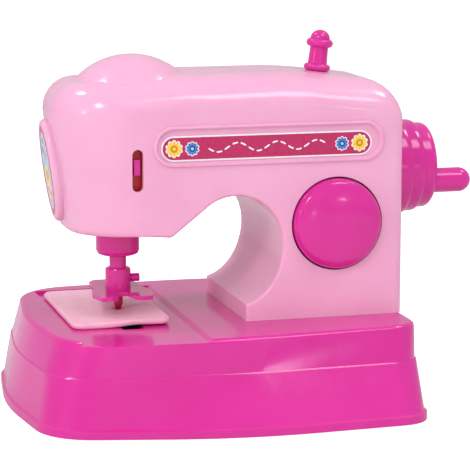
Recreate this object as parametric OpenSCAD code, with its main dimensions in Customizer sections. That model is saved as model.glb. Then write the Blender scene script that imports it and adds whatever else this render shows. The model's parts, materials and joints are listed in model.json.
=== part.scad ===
// Toy sewing machine with a hand wheel, a needle bar and a push button.
// X runs from the needle end to the hand wheel, Y from front to back, Z up from the floor.

/* [Base] */
// Length of the foot of the base
base_len = 156.4; // [155.4:0.2:160]
// Width of the foot at the column end
base_w_right = 142; // [136:1:146]
// Width of the foot where it bows out most
base_w_middle = 150; // [146:1:152]
// Width of the foot at the needle end
base_w_left = 116; // [114:1:122]
// Width of the top at the column end
top_w_right = 111; // [110:1:114]
// Width of the top where it bows out most
top_w_middle = 122.4; // [120:0.2:123]
// Width of the top at the needle end
top_w_left = 114; // [112:1:116]
// Height of the base
base_h = 35.6; // [34:0.2:42]
// Wall of the base moulding
base_wall = 2.4; // [1.8:0.1:2.8]
// How far the needle end bows out
base_bow = 7.5; // [5:0.5:10]
// Corner radius at the needle end
base_corner_left = 24; // [18:1:28]
// Corner radius at the column end
base_corner_right = 13; // [9:1:14]
// Height of the lip round the foot
lip_h = 3; // [2:0.5:4]
// How far the lip stands out
lip_out = 1.1; // [0.8:0.1:1.4]
// Height of the crease in the wall
crease_z = 21.6; // [19:0.2:23]
// Depth of the crease
crease_in = 0.6; // [0.4:0.1:0.8]
// How far the crease is wider than the top at the column end
crease_more_right = 9; // [8:0.5:10]
// How far the crease is wider than the top where it bows out most
crease_more_middle = 2; // [1.6:0.2:3]
// How far the column end draws in from foot to crease
crease_draft_right = 0.8; // [0.6:0.1:1]
// How far the needle end draws in from foot to crease
crease_draft_left = 4.2; // [3.6:0.1:4.8]
// Radius of the top edge
top_edge = 2; // [1.6:0.1:2.6]
// How far the column end draws in from foot to top
draft_right = 0.4; // [0.3:0.1:0.8]
// How far the needle end draws in from foot to top
draft_left = 8; // [7.4:0.1:8.6]
// Thickness of the bottom cover
cover_t = 2.4; // [2:0.1:2.8]

/* [Bed] */
// Depth of the work bed below the base top
bed_step = 1.2; // [1.1:0.1:1.6]
// Left edge of the bed from the needle axis
bed_left = 24.5; // [23:0.5:27]
// Right edge of the bed from the needle axis
bed_right = 22; // [21:0.5:25]
// Back edge of the bed from the middle of the depth
bed_back = 49; // [44:1:51]
// Run of the sloping riser
riser_run = 1.9; // [1.5:0.1:2.4]
// Width of the needle opening
opening_w = 8.5; // [7:0.5:10]
// Front end of the needle opening from the needle axis
opening_front = 29; // [27:1:32]
// Back end of the needle opening from the needle axis
opening_back = 8; // [6:1:10]

/* [Body] */
// Left wall of the column
column_left = 13; // [12.4:0.2:13.4]
// Width of the column
column_w = 64.8; // [63.6:0.1:65.2]
// Depth of the body
body_d = 64; // [60:1:67]
// Height of the arm top above the base
arm_h = 96.2; // [94:0.2:101]
// Drop of the top at the column end
top_fall = 4.6; // [3.4:0.2:5.4]
// Length of the level part of the top left of the column
top_level = 24; // [18:1:30]
// Wall of the body shells
shell_wall = 2.2; // [1.8:0.1:2.6]
// Left end of the head top from the column
head_reach = 74.6; // [73:0.2:75.6]
// Lean of the end wall over its height
head_lean = 8; // [7:0.2:9]
// Height of the head bottom above the base
head_z = 34.5; // [33:0.5:36]
// Right corner of the head bottom from the needle axis
head_tip = 14.9; // [14.5:0.1:17]
// Edge radius at the round end wall
end_edge = 28; // [24:0.5:28.5]
// Edge radius along the top
crest_edge = 11.5; // [10:0.5:12]
// Edge radius at the arch and the head bottom
arch_edge = 1.2; // [0.8:0.1:1.6]
// Edge radius at the column's right wall
column_edge = 4; // [3:0.5:6]

/* [Arch] */
// Height of the arch centre above the base
arch_z = 30; // [28:0.5:31]
// Half width of the arch
arch_rx = 19; // [17:0.5:20]
// Rise of the arch above its centre
arch_up = 19.8; // [18:0.2:20.5]
// Drop of the arch below its centre
arch_down = 24; // [22:0.5:25]
// Arch centre left of the column wall
arch_in = 4; // [3:0.5:5]

/* [Dome] */
// Dome centre from the left end of the head top
dome_in = 34.6; // [33:0.2:35.6]
// Diameter of the dome where it leaves the top
dome_d = 41; // [38:0.5:43]
// Rise of the dome
dome_rise = 8; // [6:0.2:8.4]

/* [Label] */
// Length of the label rim
label_len = 93; // [86:1:94]
// Height of the label rim
label_h = 16; // [14:0.5:17]
// Width of the label rim
label_rim = 1.8; // [1.4:0.1:2]
// How far the rim stands out
label_raise = 1.1; // [0.7:0.1:1.3]
// Depth of the label floor
label_sink = 0.5; // [0.4:0.1:0.8]
// Label centre from the column wall
label_x = 9.5; // [8:0.5:11]
// Label centre above the base
label_z = 70; // [69:0.5:73]
// Margin of the sticker at its ends
sticker_side = 4; // [3.6:0.1:6]
// Margin of the sticker above and below
sticker_edge = 3.1; // [2.9:0.1:3.6]
// Thickness of the stickers
sticker_t = 0.3; // [0.2:0.05:0.35]
// How far the sticker sits low and left
sticker_shift = 0.9; // [0:0.1:1.2]

/* [End plate] */
// Width of the end plate
plate_w = 23.4; // [22:0.2:24]
// Height of the end plate
plate_h = 41; // [38:0.5:42]
// Thickness of the end plate
plate_t = 2.6; // [2.2:0.1:3]
// Width of the bezel
bezel_w = 2.6; // [2.4:0.1:3.2]
// End plate centre above the base
plate_z = 58.3; // [57:0.1:60]

/* [Button] */
// Button centre from the column wall
button_x = 37; // [35:0.5:38]
// Button centre above the base
button_z = 37.4; // [36:0.2:38]
// Button diameter
button_d = 36; // [33:0.5:36.5]
// Gap round the button
button_gap = 0.6; // [0.4:0.1:0.8]
// Rise of the button's dome
button_rise = 5.4; // [4.4:0.2:5.8]
// Travel of the button
button_travel = 3; // [2:0.5:3.5]
// Wall of the button
button_wall = 2; // [1.6:0.1:2.4]
// Wire of the button spring
spring_wire = 1.1; // [0.9:0.1:1.2]
// Mean diameter of the button spring
spring_d = 10; // [9:0.5:11]
// Turns of the button spring
spring_turns = 5; // [4:1:6]

/* [Hand wheel] */
// Shaft height above the base
shaft_z = 54.8; // [54:0.2:56]
// Shaft diameter
shaft_d = 5; // [4:0.2:5]
// Diameter of the first tier
tier_one_d = 40; // [38.5:0.1:44]
// Diameter of the second tier
tier_two_d = 37.6; // [36.5:0.1:38]
// Diameter of the third tier
tier_three_d = 34.8; // [33:0.1:36]
// Width of the first tier
tier_one = 7.7; // [6.5:0.2:9.1]
// Width of the second tier
tier_two = 5.4; // [4.6:0.2:6]
// Width of the third tier
tier_three = 6; // [5:0.2:6.4]
// Gap between the wheel and the column
wheel_gap = 1; // [0.8:0.1:1.5]
// Peg diameter
peg_d = 10; // [8:0.5:11]
// Peg length
peg_len = 15.8; // [14:0.2:18]
// Peg distance from the axis
peg_throw = 11.2; // [10.4:0.2:11.2]
// Turn of the peg from straight down towards the front
peg_turn = 62; // [0:1:90]

/* [Needle drive] */
// Needle axis from the left end of the head top
needle_in = 30.1; // [29.6:0.1:31]
// Needle bar diameter
bar_d = 6.8; // [6:0.2:7.2]
// Throw of the crank
crank_throw = 4.5; // [4:0.1:4.6]
// Lift of the bar above mid stroke in the pose shown
rest_lift = 1.1; // [0.6:0.1:1.4]
// Bush diameter
bush_d = 17.4; // [16:0.2:18]
// Bottom of the bush above the base
bush_z = 23.4; // [22.8:0.2:25]
// Clamp diameter
clamp_d = 10.2; // [9.4:0.2:11]
// Top of the clamp above the base
clamp_top = 18.2; // [17.4:0.2:18.8]
// Top of the presser foot above the base
foot_z = 9.6; // [9.2:0.1:10.2]
// Thickness of the presser foot
foot_t = 1.7; // [1.4:0.1:2]
// Width of the presser foot
foot_w = 24.6; // [22:0.2:26]
// Length of the presser foot
foot_len = 38; // [32:1:40]
// Needle diameter
needle_d = 3.7; // [3:0.1:4]
// Slot centre right of the needle axis
slot_side = 1.4; // [0:0.1:1.6]
// Slot width in the head
slot_w = 4.3; // [4:0.1:5]
// Slot height in the head
slot_h = 16.4; // [16:0.1:18]
// Slot centre above the base
slot_z = 61.1; // [60.6:0.1:61.6]
// Lug width
lug_w = 2.4; // [2:0.1:2.8]
// Lug height
lug_h = 6; // [5:0.1:6.4]

/* [Spool pin] */
// Spool pin from the column wall
spool_x = 38; // [36:0.5:42]
// Flange diameter
spool_flange_d = 10.8; // [10:0.2:12]
// Stem diameter at its foot
spool_stem_d = 7.8; // [7:0.2:8.2]
// Collar diameter
spool_collar_d = 10.8; // [10:0.2:12]
// Knob diameter
spool_knob_d = 7.9; // [7:0.1:8.4]
// Height of the spool pin above the top
spool_h = 16.5; // [14:0.5:20]

/* [Cloth] */
// Width of the cloth square
cloth_w = 39; // [34:1:41]
// Length of the cloth square
cloth_len = 69; // [60:1:70]
// Thickness of the cloth square
cloth_t = 3.1; // [2.4:0.1:3.2]

/* [Hidden] */

// Colours of the mouldings
pale_pink = "#f2b8d2";
magenta = "#d63c93";
deep_pink = "#c42b72";
steel = "#b9bcc0";
cloth_pink = "#e6a9c1";

// Clearances, overrun of the cuts and small common sizes
overrun = 1;
fit = 0.05;
loose = 0.3;
screw_d = 2.6;
screw_head_d = 5.2;
screw_head_t = 1.4;
boss_d = 7;
fillet = 0.6;
quarter_turn = 90;

// Facets of the mouldings
corner_steps = 8;
edge_steps = 5;
body_steps = 9;
arch_steps = 22;
round_steps = 32;

// Levels and places shared by the pieces
half_d = body_d / 2;
column_right = column_left + column_w;
needle_x = head_reach - needle_in;
needle_axis = column_left - needle_x;
head_corner = needle_x - head_tip;
dome_x = head_reach - dome_in;
sticker_len = label_len - 2 * sticker_side;
sticker_h = label_h - 2 * sticker_edge;
shaft_level = base_h + shaft_z;
bed_level = base_h - bed_step;
lug_level = base_h + slot_z + rest_lift;
pin_level = shaft_level + rest_lift;
wheel_start = column_right + wheel_gap;
wheel_end = wheel_start + tier_one + tier_two + tier_three;

function flat(v) = [v[0], v[1]];
function unit(v) = v / norm(v);
function turned(v, a) = [v[0] * cos(a) - v[1] * sin(a), v[0] * sin(a) + v[1] * cos(a)];
function mixed(a, b, t) = a + (b - a) * t;

// Round corner of radius r at b, between a and c
function corner_arc(a, b, c, r) =
    let (u = unit(a - b), w = unit(c - b), half = acos(u * w) / 2)
    let (centre = b + unit(u + w) * r / sin(half))
    let (from = b + u * r / tan(half) - centre, to = b + w * r / tan(half) - centre)
    let (sweep = atan2(from[0] * to[1] - from[1] * to[0], from * to))
    [for (k = [0 : corner_steps]) centre + turned(from, sweep * k / corner_steps)];

// Outline through corners given as x, y and radius
function rounded(vs) = [for (i = [0 : len(vs) - 1])
    let (n = len(vs), v = vs[i])
    each (v[2] == 0 ? [flat(v)]
        : corner_arc(flat(vs[(i + n - 1) % n]), flat(v), flat(vs[(i + 1) % n]), v[2]))];

// What a corner list gives in one place as a pair, from start to end of each corner, at each outline point
function along(vs, place) = [for (v = vs) each
    [for (k = [0 : (v[2] == 0 ? 0 : corner_steps)]) mixed(v[place][0], v[place][1], k / corner_steps)]];

// Outward step of one unit at each point of a closed outline
function outward(ps) = [for (i = [0 : len(ps) - 1])
    let (n = len(ps), e = unit(ps[i] - ps[(i + n - 1) % n]), f = unit(ps[(i + 1) % n] - ps[i]))
    let (a = [e[1], -e[0]], b = [f[1], -f[0]])
    (a + b) / (1 + a * b)];

// Triangles between two chains of point numbers that run side by side along a shape
function zipped(ps, one, two, i = 0, j = 0) =
    let (more_one = i + 1 < len(one), more_two = j + 1 < len(two))
    !more_one && !more_two ? [] :
    let (step_one = more_one ? norm(ps[one[i + 1]] - ps[two[j]]) : 0)
    let (step_two = more_two ? norm(ps[two[j + 1]] - ps[one[i]]) : 0)
    more_one && (!more_two || step_one < step_two)
        ? concat([[one[i], one[i + 1], two[j]]], zipped(ps, one, two, i + 1, j))
        : concat([[one[i], two[j + 1], two[j]]], zipped(ps, one, two, i, j + 1));

// Solid through rings of points, the first at the bottom, closed by faces over each end ring
module loft(rings, cap) {
    n = len(rings[0]);
    m = len(rings);
    ends = is_undef(cap) ? [[for (i = [0 : n - 1]) i]] : cap;
    sides = [for (j = [0 : m - 2], i = [0 : n - 1])
        let (k = (i + 1) % n)
        each [[j * n + i, (j + 1) * n + i, (j + 1) * n + k], [j * n + i, (j + 1) * n + k, j * n + k]]];
    top = [for (face = ends) [for (i = [len(face) - 1 : -1 : 0]) (m - 1) * n + face[i]]];
    polyhedron([for (r = rings) each r], concat(ends, top, sides), convexity = 8);
}

// Place and radius of the bow of the long sides
side_bow_x = 2;
side_bow = 200;

// Outline of the base: right corners, bowed long sides and the bowed needle end
function base_plan(right, left, w_right, w_middle, w_left) = rounded([
    [right, -w_right / 2, base_corner_right],
    [right, w_right / 2, base_corner_right],
    [side_bow_x, w_middle / 2, side_bow],
    [left + base_bow, w_left / 2, base_corner_left],
    [left, 0, base_len],
    [left + base_bow, -w_left / 2, base_corner_left],
    [side_bow_x, -w_middle / 2, side_bow]]);

half_len = base_len / 2;
foot_plan = base_plan(half_len, -half_len, base_w_right, base_w_middle, base_w_left);
crease_plan = base_plan(half_len - crease_draft_right, crease_draft_left - half_len,
    top_w_right + crease_more_right, top_w_middle + crease_more_middle,
    mixed(base_w_left, top_w_left, 1 / 2));
upper_plan = base_plan(half_len - draft_right, draft_left - half_len, top_w_right, top_w_middle, top_w_left);

// One ring of the base wall at height z, over a plan drawn in by a step
function base_ring(z, plan, inset) =
    let (out = outward(plan))
    [for (i = [0 : len(plan) - 1]) concat(plan[i] - out[i] * inset, z)];

// Rings of the base from its foot to a top level, drawn in by a wall
function base_rings(inset, top) =
    let (edge = max(top_edge - inset, fillet), foot_in = inset == 0 ? 0 : inset + lip_out)
    concat([base_ring(0, foot_plan, foot_in),
        base_ring(lip_h, foot_plan, foot_in),
        base_ring(lip_h + crease_in, foot_plan, inset + lip_out),
        base_ring(crease_z, crease_plan, inset),
        base_ring(crease_z + crease_in, crease_plan, inset + crease_in)],
        [for (k = [0 : edge_steps])
            let (a = quarter_turn * k / edge_steps)
            base_ring(top - edge + edge * sin(a), upper_plan, inset + edge * (1 - cos(a)))]);

function reversed(list) = [for (i = [len(list) - 1 : -1 : 0]) list[i]];

// Recess of the work bed, open to the front
module bed_cut() {
    left = needle_axis - bed_left;
    right = needle_axis + bed_right;
    reach = base_w_middle + overrun;
    rise = bed_step + overrun;
    slope = riser_run * rise / bed_step;
    translate([0, bed_back, bed_level])
        rotate([90, 0, 0])
            linear_extrude(reach)
                polygon([[left, 0], [right, 0], [right + slope, rise], [left - slope / 2, rise]]);
}

// Places of the screws that hold the bottom cover, as shares of the base's half length and width
cover_screw_shares = [[-0.7, -0.62], [-0.7, 0.62], [0.78, -0.7], [0.78, 0.7]];
cover_screw_places = [for (s = cover_screw_shares) [s[0] * half_len, s[1] * top_w_left / 2]];

// Places of the screws that hold the body, as shares of the column's width and depth
body_screw_shares = [[0.24, 0.55], [0.8, -0.55]];
body_screw_places = [for (s = body_screw_shares) [column_left + s[0] * column_w, s[1] * half_d]];

// Screw standing on its head, head down at the origin
module screw(reach) {
    cylinder(d = screw_head_d, h = screw_head_t - 2 * fit, $fn = round_steps);
    cylinder(d = screw_d, h = reach, $fn = round_steps);
}

// Room for a screw and its head
module screw_room(reach) {
    translate([0, 0, -overrun])
        cylinder(d = screw_head_d + 2 * loose, h = screw_head_t + overrun, $fn = round_steps);
    cylinder(d = screw_d + 2 * fit, h = reach + overrun, $fn = round_steps);
}

cover_screw_len = 12;
body_screw_len = 11;
body_boss_h = 12;
body_seat = base_h - 2 * base_wall;

module base_shell() {
    color(magenta) difference() {
        union() {
            difference() {
                loft(concat(reversed(base_rings(base_wall, bed_level - base_wall)), base_rings(0, base_h)));
                raised_room();
            }
            for (p = cover_screw_places) translate([p[0], p[1], cover_t])
                cylinder(d = boss_d, h = (p[0] > 0 ? base_h : bed_level) - base_wall / 2 - cover_t,
                    $fn = round_steps);
            for (p = body_screw_places) translate([p[0], p[1], body_seat])
                cylinder(d = boss_d + base_wall, h = base_h - base_wall / 2 - body_seat, $fn = round_steps);
        }
        bed_cut();
        translate([needle_axis - opening_w / 2, -opening_front, bed_level - 2 * base_wall])
            cube([opening_w, opening_front + opening_back, 3 * base_wall]);
        for (p = cover_screw_places) translate([p[0], p[1], 0]) screw_room(cover_screw_len);
        for (p = body_screw_places) translate([p[0], p[1], body_seat]) screw_room(body_screw_len);
    }
}

// Extra room under the raised part of the base
module raised_room() {
    from = needle_axis + bed_right + riser_run + base_wall;
    upto = half_len - draft_right - top_edge - base_wall;
    wide = top_w_right - 2 * (top_edge + base_wall);
    translate([from, -wide / 2, base_h / 2])
        cube([upto - from, wide, base_h / 2 - base_wall]);
}

module bottom_cover() {
    inset = base_wall + lip_out + loose;
    color(magenta) difference() {
        loft([base_ring(0, foot_plan, inset), base_ring(cover_t, foot_plan, inset)]);
        for (p = cover_screw_places) translate([p[0], p[1], 0]) screw_room(cover_screw_len);
    }
}

module cover_screws() {
    color(steel) for (p = cover_screw_places) translate([p[0], p[1], fit]) screw(cover_screw_len);
}

module body_screws() {
    color(steel) for (p = body_screw_places) translate([p[0], p[1], body_seat + fit]) screw(body_screw_len);
}

// Arch from the head over to the column, as corners without rounding
arch_from = 122;
arch_to = -acos(arch_in / arch_rx);
arch_corners = [for (k = [0 : arch_steps])
    let (a = mixed(arch_from, arch_to, k / arch_steps))
    [-arch_in + arch_rx * cos(a), arch_z + (a > 0 ? arch_up : arch_down) * sin(a), 0,
        [arch_edge, arch_edge]]];

// Corner radii of the body outline, and how much deeper than high the edge along the top is
head_low_corner = 3.2;
head_top_corner = 13;
crest_bend = 150;
column_top_corner = 14;
head_tip_corner = 3.6;
top_dip = 3.2;
crest_share = 1.75;
crest_depth = crest_share * crest_edge;

// Body outline from the column foot round to the arch: place from the column wall and the base top, corner
// radius, and depth of the rounded edge at the corner's start and end
body_corners = concat([
    [0, 0, 0, [arch_edge, arch_edge]],
    [column_w, 0, 0, [column_edge, column_edge]],
    [column_w, arm_h - top_fall, column_top_corner, [column_edge, crest_depth]],
    [top_level, arm_h, crest_bend, [crest_depth, crest_depth]],
    [-top_level, arm_h, crest_bend, [crest_depth, crest_depth]],
    [-head_reach, arm_h - top_dip, head_top_corner, [crest_depth, end_edge]],
    [-head_reach + head_lean, head_z, head_low_corner, [end_edge, end_edge]],
    [-head_corner, head_z, head_tip_corner, [arch_edge, arch_edge]]], arch_corners);
body_outline = rounded(body_corners);
body_depths = along(body_corners, 3);
body_out = outward(body_outline);

// Outline of the flat face inside the rounded edge, from the column foot to the head's low end
face_corners = [
    [arch_edge, 0, 0],
    [column_w - column_edge, 0, 0],
    [column_w - column_edge, arm_h - top_fall - crest_edge, column_top_corner - column_edge],
    [top_level, arm_h - crest_edge, crest_bend],
    [-top_level, arm_h - crest_edge, crest_bend],
    [-head_reach + end_edge, arm_h - top_dip - crest_edge, head_top_corner / 2],
    [-head_reach + head_lean + end_edge, head_z + arch_edge, head_low_corner],
    [-head_corner, head_z + arch_edge, 0]];
face_outline = rounded(face_corners);

// Step from the flat face's outline to the body's outline at each point
outer_last = 1 + 5 * (corner_steps + 1);
edge_out = [for (i = [0 : len(body_outline) - 1])
    i > outer_last ? body_out[i] * arch_edge : body_outline[i] - face_outline[i]];

// Ring of the body drawn in by a wall, at an angle round the front edge
function body_ring(inset, a) = [for (i = [0 : len(body_outline) - 1])
    let (p = body_outline[i] - body_out[i] * inset, reach = norm(edge_out[i]))
    let (step = edge_out[i] * max(reach - inset, fillet / 2) / reach)
    let (depth = max(body_depths[i] - inset, fillet / 2))
    concat(p - step * (1 - cos(a)), half_d - inset - depth * (1 - sin(a)))];

// Rings of half the body from the parting plane to the face, drawn in by a wall
function body_rings(inset) = concat(
    [[for (i = [0 : len(body_outline) - 1]) concat(body_outline[i] - body_out[i] * inset, 0)]],
    [for (k = [0 : body_steps]) body_ring(inset, quarter_turn * k / body_steps)]);

// Faces over the body outline, between its outer chain and the chain along the arch
outer_chain = [for (i = [1 : outer_last]) i];
arch_chain = concat(0, [for (i = [len(body_outline) - 1 : -1 : outer_last + 1]) i]);
body_faces = zipped([for (p = body_ring(0, quarter_turn)) flat(p)], outer_chain, arch_chain);

// Front half of the hollow body
module half_body() {
    translate([column_left, 0, base_h]) rotate([90, 0, 0])
        loft(concat(reversed(body_rings(shell_wall)), body_rings(0)), body_faces);
}

// Front half of the dome on the sloping top
dome_r = (dome_d * dome_d / 4 + dome_rise * dome_rise) / (2 * dome_rise);
dome_root = 4;
module half_dome() {
    lean = atan(top_dip / (head_reach - top_level));
    drop = (dome_x - top_level) * tan(lean);
    translate([column_left - dome_x, 0, base_h + arm_h - drop]) rotate([0, -lean, 0])
        rotate([0, 0, 180]) rotate_extrude(angle = 180, $fn = 2 * round_steps) intersection() {
            translate([0, dome_rise - dome_r]) circle(r = dome_r, $fn = 4 * round_steps);
            translate([0, -dome_root]) square([dome_d, dome_rise + dome_root]);
        }
}

// Bearing ribs across the arm
rib_t = 6;
rib_low = 10;
rib_high = 14;

// Height of the needle bar above the crank pin, and width of the shield behind the head's slot
bar_top = 14;
shield_w = 8;

// Screws between the shells: places from the column wall and the base top
screw_share = 0.37;
shell_screw_places = [
    [column_w - boss_d, 2 * boss_d],
    [3 * boss_d, body_boss_h + boss_d],
    [column_w - column_top_corner, mixed(shaft_z + rib_high, arm_h - top_fall, screw_share)],
    [0, arm_h - crest_edge - boss_d / 2],
    [-head_corner - shell_wall, head_z + shell_wall + boss_d / 2 + fillet],
    [slot_side + shield_w / 2 + boss_d / 2 + overrun - needle_x,
        mixed(shaft_z + rest_lift + bar_top, arm_h - top_dip, screw_share)]];
shell_screw_len = 14;
socket_depth = 20;
shell_seat = half_d - socket_depth;

module at_shell_screws() {
    for (p = shell_screw_places) translate([column_left + p[0], 0, base_h + p[1]]) children();
}

// Crank drive between the needle bar and the main shaft
yoke_gap = 2.2;
yoke_t = 2.6;
disc_t = 3.4;
disc_d = 16;
disc_hub_d = 10;
disc_hub = 1;
crank_pin_d = 3;
pin_reach = 3.2;
yoke_hub_d = 12;
yoke_right = needle_axis + yoke_hub_d / 2 + yoke_gap + yoke_t;
disc_left = yoke_right + loose + pin_reach;
shaft_end = wheel_end - tier_three;

// Shaft bushes and the ribs that hold them
bush_outer = 12;
bush_flange_d = 15;
bush_flange_t = 1.5;
left_rib = disc_left + disc_t + disc_hub + loose + bush_flange_t;
right_rib = column_right - shell_wall - rib_t;

module at_shaft(x) {
    translate([x, 0, shaft_level]) rotate([0, 90, 0]) children();
}

// What both shells share: the hollow half with its ribs and bosses
module half_shell(side) {
    reach = half_d - shell_wall / 2;
    difference() {
        union() {
            half_body();
            half_dome();
            on_end() translate([0, 0, -seat_depth]) linear_extrude(seat_depth + fit) half_oval();
            translate([left_rib, -reach, shaft_level - rib_low]) cube([rib_t, reach, rib_low + rib_high]);
            translate([right_rib, -half_d + column_edge, shaft_level - rib_low])
                cube([rib_t + shell_wall / 2, half_d - column_edge, rib_low + rib_high]);
            at_shell_screws() rotate([90, 0, 0]) cylinder(d = boss_d, h = reach, $fn = round_steps);
            for (p = body_screw_places) if (p[1] * side > 0)
                translate([p[0], -abs(p[1]), base_h + shell_wall / 2])
                    cylinder(d = boss_d, h = body_boss_h, $fn = round_steps);
        }
        for (x = [left_rib, right_rib]) at_shaft(x - overrun)
            cylinder(d = bush_outer + 2 * fit, h = rib_t + shell_wall + 2 * overrun, $fn = round_steps);
        translate([needle_axis, 0, base_h + head_z - overrun])
            cylinder(d = bush_neck_d + 2 * fit, h = shell_wall + 2 * overrun, $fn = round_steps);
        at_spool() spool_root(fit, overrun);
    }
}

// Flat seat of the end plate on the round end wall, front half
seat_depth = 1.7;
module half_oval() {
    polygon([for (i = [0 : round_steps])
        let (a = quarter_turn + 2 * quarter_turn * i / round_steps)
        [plate_w / 2 * cos(a), plate_h / 2 * sin(a)]]);
}

// Outline with round ends
module stadium(len, h) {
    hull() for (s = [-1, 1]) translate([s * (len - h) / 2, 0]) circle(d = h, $fn = round_steps);
}

// Ring with round ends at a height on the label, drawn in by a step
function stadium_ring(z, inset) =
    let (r = label_h / 2 - inset, half = (label_len - label_h) / 2)
    [for (side = [1, -1], i = [0 : round_steps / 2])
        let (a = 2 * quarter_turn * i / (round_steps / 2) - side * quarter_turn)
        [side * half + r * cos(a), r * sin(a), z]];

// Stands children on the front face at a place from the column wall and the base top
module on_front(x, z) {
    translate([column_left + x, -half_d, base_h + z]) rotate([90, 0, 0]) children();
}

guide_t = 1.8;
guide_depth = button_travel + 2 * button_wall;
button_hole_d = button_d + 2 * button_gap;

module front_shell() {
    color(pale_pink) difference() {
        union() {
            half_shell(-1);
            on_front(label_x, label_z) loft([stadium_ring(-shell_wall / 2, 0),
                stadium_ring(label_raise / 2, 0), stadium_ring(label_raise - fillet / 4, fillet / 2),
                stadium_ring(label_raise, label_rim / 2)]);
            on_front(button_x, button_z) translate([0, 0, -guide_depth])
                cylinder(d = button_hole_d + 2 * guide_t, h = guide_depth - shell_wall / 2,
                    $fn = round_steps);
        }
        on_front(label_x, label_z) loft([stadium_ring(-label_sink, label_rim), stadium_ring(0, label_rim),
            stadium_ring(label_raise + overrun, fillet / 2)]);
        on_front(button_x, button_z) translate([0, 0, -guide_depth - overrun])
            cylinder(d = button_hole_d, h = guide_depth + 2 * overrun, $fn = round_steps);
        on_front(slot_side - needle_x, slot_z) translate([0, 0, -2 * shell_wall])
            linear_extrude(3 * shell_wall) rotate(90) stadium(slot_h, slot_w);
        at_shell_screws() rotate([90, 0, 0]) translate([0, 0, -overrun])
            cylinder(d = screw_d + 2 * fit, h = shell_screw_len + overrun, $fn = round_steps);
        for (p = body_screw_places) if (p[1] < 0) translate([p[0], p[1], base_h - overrun])
            cylinder(d = screw_d + 2 * fit, h = body_boss_h + overrun, $fn = round_steps);
    }
}

spring_post_d = 6.6;
spring_seat_d = 13;
spring_seat_y = -6;

module rear_shell() {
    color(pale_pink) difference() {
        union() {
            mirror([0, 1, 0]) half_shell(1);
            on_front(button_x, button_z) translate([0, 0, -body_d + shell_wall / 2])
                cylinder(d = spring_seat_d, h = half_d - spring_seat_y - shell_wall / 2, $fn = round_steps);
            on_front(button_x, button_z) translate([0, 0, -half_d - spring_seat_d])
                cylinder(d = spring_post_d, h = spring_seat_d - spring_seat_y + spring_post_d,
                    $fn = round_steps);
        }
        at_shell_screws() translate([0, shell_seat, 0]) rotate([90, 0, 0]) {
            translate([0, 0, shell_seat - half_d - overrun])
                cylinder(d = screw_head_d + 2 * loose, h = half_d - shell_seat + overrun, $fn = round_steps);
            translate([0, 0, -overrun])
                cylinder(d = screw_d + 2 * fit, h = shell_seat + 2 * overrun, $fn = round_steps);
        }
        for (p = body_screw_places) if (p[1] > 0) translate([p[0], p[1], base_h - overrun])
            cylinder(d = screw_d + 2 * fit, h = body_boss_h + overrun, $fn = round_steps);
    }
}

module shell_screws() {
    color(steel) at_shell_screws() translate([0, shell_seat + screw_head_t - fit, 0])
        rotate([90, 0, 0]) screw(shell_seat + screw_head_t + shell_screw_len - overrun);
}

module front_label() {
    color(deep_pink) on_front(label_x - sticker_shift, label_z - sticker_shift)
        translate([0, 0, -label_sink]) linear_extrude(sticker_t) stadium(sticker_len, sticker_h);
}

// Stands children on the end wall, their Z out of the wall
module on_end() {
    low = [-head_reach + head_lean, head_z];
    tip = [-head_reach, arm_h - top_dip];
    at = mixed(low, tip, (plate_z - low[1]) / (tip[1] - low[1]));
    slope = atan2(low[0] - tip[0], tip[1] - low[1]);
    translate([column_left + at[0], 0, base_h + at[1]])
        rotate([0, -90 - slope, 0]) rotate([0, 0, 90]) children();
}

// Ring of an oval at a height, drawn in by a step
function oval_ring(w, h, z, inset) = [for (i = [0 : 2 * round_steps - 1])
    let (a = 180 * i / round_steps)
    [(w / 2 - inset) * cos(a), (h / 2 - inset) * sin(a), z]];

// Rounding of the bezel, and depth of the label in the plate
bezel_round = 1.7;
label_depth = 0.4;

module end_plate() {
    color(pale_pink) on_end() translate([0, 0, 2 * fit]) difference() {
        loft(concat([oval_ring(plate_w, plate_h, 0, 0)], [for (k = [0 : edge_steps])
            let (a = quarter_turn * k / edge_steps)
            oval_ring(plate_w, plate_h, plate_t - bezel_round * (1 - sin(a)), bezel_round * (1 - cos(a)))]));
        translate([0, 0, plate_t - label_depth])
            loft([oval_ring(plate_w, plate_h, 0, bezel_w), oval_ring(plate_w, plate_h, plate_t, bezel_w)]);
    }
}

module end_label() {
    color(deep_pink) on_end() translate([0, 0, plate_t - label_depth + 3 * fit])
        loft([oval_ring(plate_w, plate_h, 0, bezel_w + loose),
            oval_ring(plate_w, plate_h, sticker_t, bezel_w + loose)]);
}

// Spool pin on the sloping top
spool_root_w = 5;
spool_root_len = 6;
spool_flange_t = 2.8;
spool_collar_t = 3.4;
spool_knob_h = 3.6;

module at_spool() {
    run = spool_x - top_level;
    drop = run * top_fall / (column_w - top_level);
    translate([column_left + spool_x, 0, base_h + arm_h - drop])
        rotate([0, atan(top_fall / (column_w - top_level)), 0]) children();
}

// Square root of the spool pin, grown by a gap at the sides and an extra length at both ends
module spool_root(gap, extra) {
    wide = spool_root_w + 2 * gap;
    translate([-wide / 2, -wide / 2, -spool_root_len - extra])
        cube([wide, wide, spool_root_len + 2 * extra]);
}

// Spool pin, turned above its root
module spool_pin() {
    stem_top = spool_h - spool_collar_t - spool_knob_h;
    collar_top = stem_top + spool_collar_t;
    color(magenta) at_spool() translate([0, 0, fit]) {
        spool_root(0, fillet);
        spool_stem(stem_top, collar_top);
    }
}

// Profile of a round bead of diameter d, from height z to its thickness t above that
function bead(d, z, t) = [for (k = [0 : corner_steps])
    let (a = 2 * quarter_turn * k / corner_steps - quarter_turn)
    [d / 2 - t / 2 * (1 - cos(a)), z + t / 2 * (1 + sin(a))]];

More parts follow.
